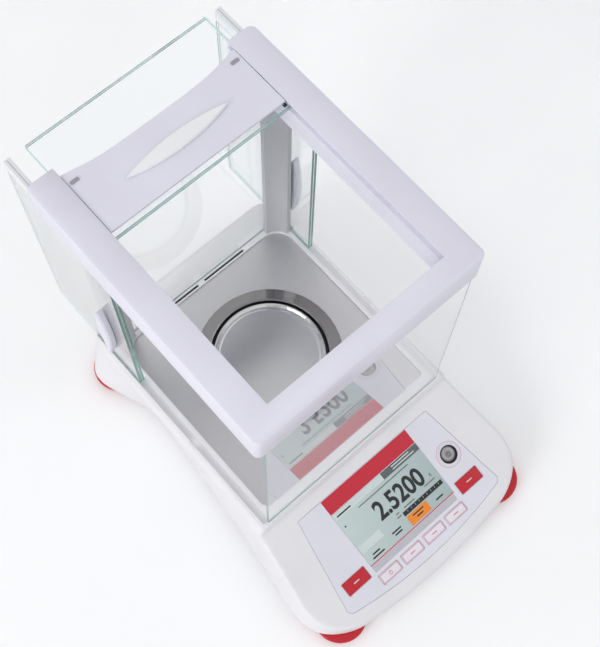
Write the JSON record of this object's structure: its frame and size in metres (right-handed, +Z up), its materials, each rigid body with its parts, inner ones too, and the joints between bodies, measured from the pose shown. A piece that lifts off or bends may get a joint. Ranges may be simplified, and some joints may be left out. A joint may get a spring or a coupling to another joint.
{
  "type": "analytical balance",
  "caption": "Laboratory analytical balance with a glass draft shield, sliding top and side doors, round steel pan and a sloping control panel with a display and keys",
  "frame": {"origin": "on the table, under the middle of the whole balance with its doors open", "axes": "front towards -Y, +X to the right as seen from the front, +Z up"},
  "size_m": [0.2362, 0.3796, 0.3268],
  "materials": {
    "housing": "satin white",
    "frame": "satin pale lavender grey",
    "panel": "printed overlay film",
    "key": "satin white with a red line round the edge",
    "steel": "fine brushed",
    "dark_steel": "satin",
    "glass": "clear with green edges",
    "red": "satin",
    "black": "satin",
    "display": "lit display",
    "post": "satin grey",
    "board": "printed circuit board",
    "aluminium": "machined",
    "brass": "polished",
    "rubber": "matt"
  },
  "bodies": {
    "base": {"bottom_housing": "housing", "top_housing": "housing", "draft_shield_base": "housing", "top_frame": "frame", "control_panel": "panel", "display_window": "glass", "front_glass": "glass", "rear_glass": "glass", "level_vial": "glass", "lcd_module": "display", "key_board": "board", "main_board": "board", "interface_board": "board", "level_cup": "black", "pan_well": "black", "calibration_motor": "black", "load_cell": "aluminium", "pan_support": "aluminium", "calibration_weight": "brass", "load_receiver": "steel", "floor_plate": "steel", "serial_port": "steel", "usb_port": "steel", "power_jack": "steel", "housing_screw_front_left": "steel", "housing_screw_front_right": "steel", "housing_screw_rear_left": "steel", "housing_screw_rear_right": "steel", "rear_post_left": "post", "rear_post_right": "post"},
    "top_door": {"top_door_front_pane": "glass", "top_door_plate": "frame", "top_door_grip": "housing"},
    "top_door_rear": {"top_door_rear_pane": "glass"},
    "left_door": {"left_door_front_pane": "glass", "left_door_front_carrier": "housing", "left_door_grip": "frame"},
    "left_door_rear": {"left_door_rear_pane": "glass", "left_door_rear_carrier": "housing"},
    "right_door": {"right_door_front_pane": "glass", "right_door_front_carrier": "housing", "right_door_grip": "frame"},
    "right_door_rear": {"right_door_rear_pane": "glass", "right_door_rear_carrier": "housing"},
    "pan": {"weighing_pan": "steel"},
    "shield_ring": {"wind_ring": "dark_steel"},
    "key_power_cap": {"key_power": "key"},
    "key_print_cap": {"key_print": "key"},
    "key_zero_cap": {"key_zero": "key"},
    "key_calibrate_cap": {"key_calibrate": "key"},
    "key_tare_left_cap": {"key_tare_left": "red"},
    "key_tare_right_cap": {"key_tare_right": "red"},
    "front_left_foot": {"foot_front_left": "red", "foot_pad_front_left": "rubber"},
    "front_right_foot": {"foot_front_right": "red", "foot_pad_front_right": "rubber"},
    "rear_left_foot": {"foot_rear_left": "red", "foot_pad_rear_left": "rubber"},
    "rear_right_foot": {"foot_rear_right": "red", "foot_pad_rear_right": "rubber"}
  },
  "joints": [
    {"name": "top_door_slide", "type": "slide", "parent": "base", "child": "top_door", "axis": [0, 1, 0], "range_m": [-0.152, 0]},
    {"name": "top_door_rear_slide", "type": "slide", "parent": "base", "child": "top_door_rear", "axis": [0, 1, 0], "range_m": [-0.0669, 0]},
    {"name": "left_door_slide", "type": "slide", "parent": "base", "child": "left_door", "axis": [0, 1, 0], "range_m": [-0.154, 0]},
    {"name": "left_door_rear_slide", "type": "slide", "parent": "base", "child": "left_door_rear", "axis": [0, 1, 0], "range_m": [-0.06778, 0]},
    {"name": "right_door_slide", "type": "slide", "parent": "base", "child": "right_door", "axis": [0, 1, 0], "range_m": [-0.154, 0]},
    {"name": "right_door_rear_slide", "type": "slide", "parent": "base", "child": "right_door_rear", "axis": [0, 1, 0], "range_m": [-0.06778, 0]},
    {"name": "pan_lift", "type": "slide", "parent": "base", "child": "pan", "axis": [0, 0, 1], "range_m": [0, 0.06]},
    {"name": "shield_ring_lift", "type": "slide", "parent": "base", "child": "shield_ring", "axis": [0, 0, 1], "range_m": [0, 0.04]},
    {"name": "key_power_press", "type": "slide", "parent": "base", "child": "key_power_cap", "axis": [0, 0.3486, -0.9373], "range_m": [0, 0.0004], "stiffness_N_per_m": 300, "springref_m": -0.0005},
    {"name": "key_print_press", "type": "slide", "parent": "base", "child": "key_print_cap", "axis": [0, 0.3486, -0.9373], "range_m": [0, 0.0004], "stiffness_N_per_m": 300, "springref_m": -0.0005},
    {"name": "key_zero_press", "type": "slide", "parent": "base", "child": "key_zero_cap", "axis": [0, 0.3486, -0.9373], "range_m": [0, 0.0004], "stiffness_N_per_m": 300, "springref_m": -0.0005},
    {"name": "key_calibrate_press", "type": "slide", "parent": "base", "child": "key_calibrate_cap", "axis": [0, 0.3486, -0.9373], "range_m": [0, 0.0004], "stiffness_N_per_m": 300, "springref_m": -0.0005},
    {"name": "key_tare_left_press", "type": "slide", "parent": "base", "child": "key_tare_left_cap", "axis": [0, 0.3486, -0.9373], "range_m": [0, 0.0004], "stiffness_N_per_m": 300, "springref_m": -0.0005},
    {"name": "key_tare_right_press", "type": "slide", "parent": "base", "child": "key_tare_right_cap", "axis": [0, 0.3486, -0.9373], "range_m": [0, 0.0004], "stiffness_N_per_m": 300, "springref_m": -0.0005},
    {"name": "front_left_foot_turn", "type": "hinge", "parent": "base", "child": "front_left_foot", "pos_m": [-0.089, -0.16275, 0], "axis": [0, 0, 1], "range_deg": [-540, 540]},
    {"name": "front_right_foot_turn", "type": "hinge", "parent": "base", "child": "front_right_foot", "pos_m": [0.089, -0.16275, 0], "axis": [0, 0, 1], "range_deg": [-540, 540]},
    {"name": "rear_left_foot_turn", "type": "hinge", "parent": "base", "child": "rear_left_foot", "pos_m": [-0.0905, 0.13175, 0], "axis": [0, 0, 1], "range_deg": [-540, 540]},
    {"name": "rear_right_foot_turn", "type": "hinge", "parent": "base", "child": "rear_right_foot", "pos_m": [0.0905, 0.13175, 0], "axis": [0, 0, 1], "range_deg": [-540, 540]}
  ],
  "couplings": [
    {"joint": "top_door_rear_slide", "follows": "top_door_slide", "ratio": 0.44},
    {"joint": "left_door_rear_slide", "follows": "left_door_slide", "ratio": 0.44},
    {"joint": "right_door_rear_slide", "follows": "right_door_slide", "ratio": 0.44}
  ]
}
